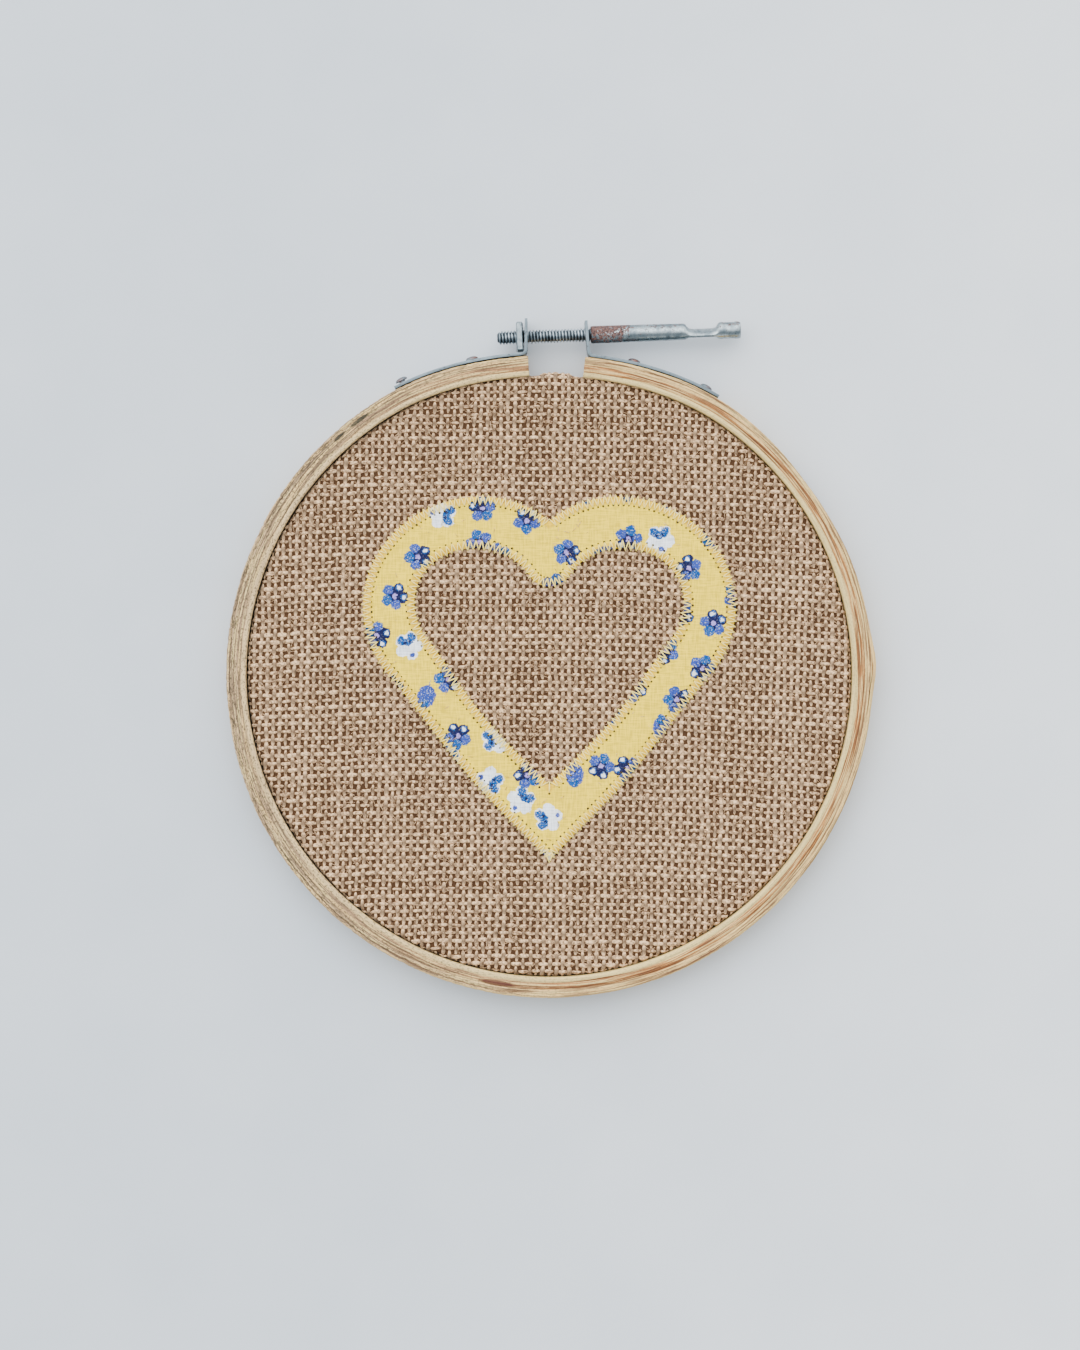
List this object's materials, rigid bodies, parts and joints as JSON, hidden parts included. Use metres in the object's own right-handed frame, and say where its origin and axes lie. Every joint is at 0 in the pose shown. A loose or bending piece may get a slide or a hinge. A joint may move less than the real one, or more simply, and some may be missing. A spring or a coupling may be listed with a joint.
{
  "type": "hoop embroidery art: burlap and cotton applique, built with its wooden embroidery hoop",
  "caption": "Round wooden embroidery hoop holding taut burlap with a flowered cotton heart band sewn on; split outer ring with steel straps and a tension screw with a long tube grip.",
  "frame": {"origin": "middle of the whole part's box, on the surface that the hoops' back lies on", "axes": "+Z out of the cloth's face, +Y towards the tension screw, +X towards the screw's grip"},
  "size_m": [0.1633, 0.171, 0.0101],
  "materials": {
    "plywood": "bare sanded plywood",
    "burlap": "coarse plain weave jute",
    "flowered_cotton": "printed cotton, matte",
    "galvanised_steel": "dull zinc plate",
    "screw_steel": "worn zinc plate",
    "grip_steel": "zinc plate with rust specks"
  },
  "bodies": {
    "hoop": {"outer_hoop": "plywood", "inner_hoop": "plywood", "cloth": "burlap", "applique": "flowered_cotton", "tab_left": "galvanised_steel", "tab_right": "galvanised_steel", "rivet_left_end": "galvanised_steel", "rivet_left_near": "galvanised_steel", "rivet_right_near": "galvanised_steel", "rivet_right_end": "galvanised_steel", "square_nut": "galvanised_steel"},
    "screw": {"screw_rod": "screw_steel", "grip_tube": "grip_steel"}
  },
  "joints": [
    {"name": "screw_turn", "type": "hinge", "parent": "hoop", "child": "screw", "pos_m": [-0.00781, 0.0811, 0.005], "axis": [0.9994, 0.034, 0], "continuous": true}
  ]
}
